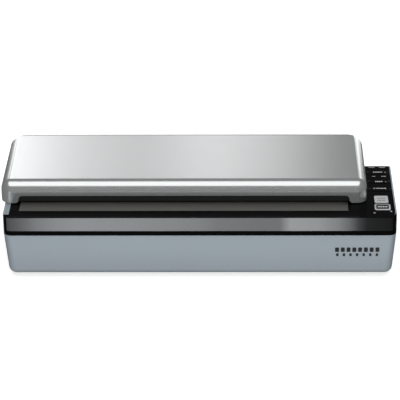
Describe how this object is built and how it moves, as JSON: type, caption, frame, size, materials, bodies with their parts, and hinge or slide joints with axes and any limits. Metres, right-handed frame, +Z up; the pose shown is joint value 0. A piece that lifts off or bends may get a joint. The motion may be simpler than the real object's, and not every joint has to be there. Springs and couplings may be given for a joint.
{
  "type": "vacuum sealer",
  "caption": "Countertop bag vacuum sealer with a hinged lid, sealing bar, vacuum channel, pump and a side control panel.",
  "frame": {"origin": "middle of the footprint, on the surface that the feet stand on", "axes": "+X to the operator's right, along the width; +Y to the back; +Z up"},
  "size_m": [0.396, 0.1556, 0.0928],
  "materials": {
    "silver_tub": "satin silver paint",
    "rubber": "matte",
    "hose": "matte silicone tube",
    "steel": "bright zinc plated",
    "gloss_black": "high gloss",
    "smoked_strip": "smoked metallic",
    "satin_plate": "satin",
    "black_plastic": "fine moulded grain",
    "heating_wire": "bright ribbon",
    "release_tape": "coated glass cloth",
    "foam": "closed cell foam",
    "silver_key": "satin silver",
    "lens": "clear lens",
    "board": "solder resist",
    "badge": "printed mark",
    "silver_lid": "satin silver paint",
    "silicone": "smooth",
    "motor_can": "plated",
    "pump_plastic": "moulded",
    "white_plastic": "moulded",
    "core_steel": "laminated, varnished",
    "winding": "enamelled copper",
    "components": "mixed",
    "wire": "insulated wire"
  },
  "bodies": {
    "base": {"base_housing": "silver_tub", "base_front": "silver_tub", "base_back": "silver_tub", "base_left": "silver_tub", "base_right": "silver_tub", "feet": "rubber", "base_screws": "steel", "deck": "gloss_black", "channel_tray": "gloss_black", "front_trim": "smoked_strip", "bag_rest_plate": "satin_plate", "sealing_bar_holder": "black_plastic", "heating_wire": "heating_wire", "release_tape": "release_tape", "lower_gasket": "foam", "control_fascia": "gloss_black", "start_button_frame": "silver_key", "indicator_lenses": "lens", "control_board": "board", "tact_switches": "rubber", "front_badge": "badge", "hinge_pins": "steel", "release_spring_left": "steel", "release_spring_right": "steel", "lid_switch": "rubber", "pump_motor": "motor_can", "pump_crankcase": "pump_plastic", "crankcase_cover": "pump_plastic", "pump_rod": "white_plastic", "pump_diaphragm": "rubber", "pump_head": "pump_plastic", "pump_mounts": "rubber", "chassis_screws": "steel", "suction_hose": "hose", "vent_hose": "hose", "vent_valve": "pump_plastic", "vacuum_switch": "rubber", "port_hose": "hose", "canister_port": "black_plastic", "transformer_core": "core_steel", "transformer_coil": "winding", "main_board": "board", "board_parts": "components", "power_inlet": "black_plastic", "inlet_pins": "steel", "wiring": "wire"},
    "lid": {"lid_cover": "silver_lid", "lid_inner": "black_plastic", "lid_gasket": "foam", "pressure_strip": "silicone", "lid_hooks": "black_plastic", "lid_screws": "steel"},
    "release_left": {"release_left": "black_plastic"},
    "release_right": {"release_right": "black_plastic"},
    "seal_button": {"seal_button": "silver_key"},
    "start_button": {"start_button": "black_plastic"},
    "speed_key": {"speed_key": "gloss_black"},
    "food_key": {"food_key": "gloss_black"},
    "canister_key": {"canister_key": "gloss_black"},
    "pump_shaft": {"pump_shaft": "steel"}
  },
  "joints": [
    {"name": "lid_hinge", "type": "hinge", "parent": "base", "child": "lid", "pos_m": [0, 0.068, 0.066], "axis": [-1, 0, 0], "range_deg": [0, 75]},
    {"name": "release_left_press", "type": "slide", "parent": "base", "child": "release_left", "axis": [1, 0, 0], "range_m": [0, 0.003], "stiffness_N_per_m": 500, "springref_m": -0.003, "deforming": ["release_spring_left"]},
    {"name": "release_right_press", "type": "slide", "parent": "base", "child": "release_right", "axis": [-1, 0, 0], "range_m": [0, 0.003], "stiffness_N_per_m": 500, "springref_m": -0.003, "deforming": ["release_spring_right"]},
    {"name": "seal_button_press", "type": "slide", "parent": "base", "child": "seal_button", "axis": [0, 0, -1], "range_m": [0, 0.001], "stiffness_N_per_m": 600, "springref_m": -0.001},
    {"name": "start_button_press", "type": "slide", "parent": "base", "child": "start_button", "axis": [0, 0, -1], "range_m": [0, 0.001], "stiffness_N_per_m": 600, "springref_m": -0.001},
    {"name": "speed_key_press", "type": "slide", "parent": "base", "child": "speed_key", "axis": [0, 0, -1], "range_m": [0, 0.0005], "stiffness_N_per_m": 800, "springref_m": -0.0005},
    {"name": "food_key_press", "type": "slide", "parent": "base", "child": "food_key", "axis": [0, 0, -1], "range_m": [0, 0.0005], "stiffness_N_per_m": 800, "springref_m": -0.0005},
    {"name": "canister_key_press", "type": "slide", "parent": "base", "child": "canister_key", "axis": [0, 0, -1], "range_m": [0, 0.0005], "stiffness_N_per_m": 800, "springref_m": -0.0005},
    {"name": "pump_turn", "type": "hinge", "parent": "base", "child": "pump_shaft", "pos_m": [-0.08625, 0.022, 0.027], "axis": [1, 0, 0], "continuous": true}
  ]
}
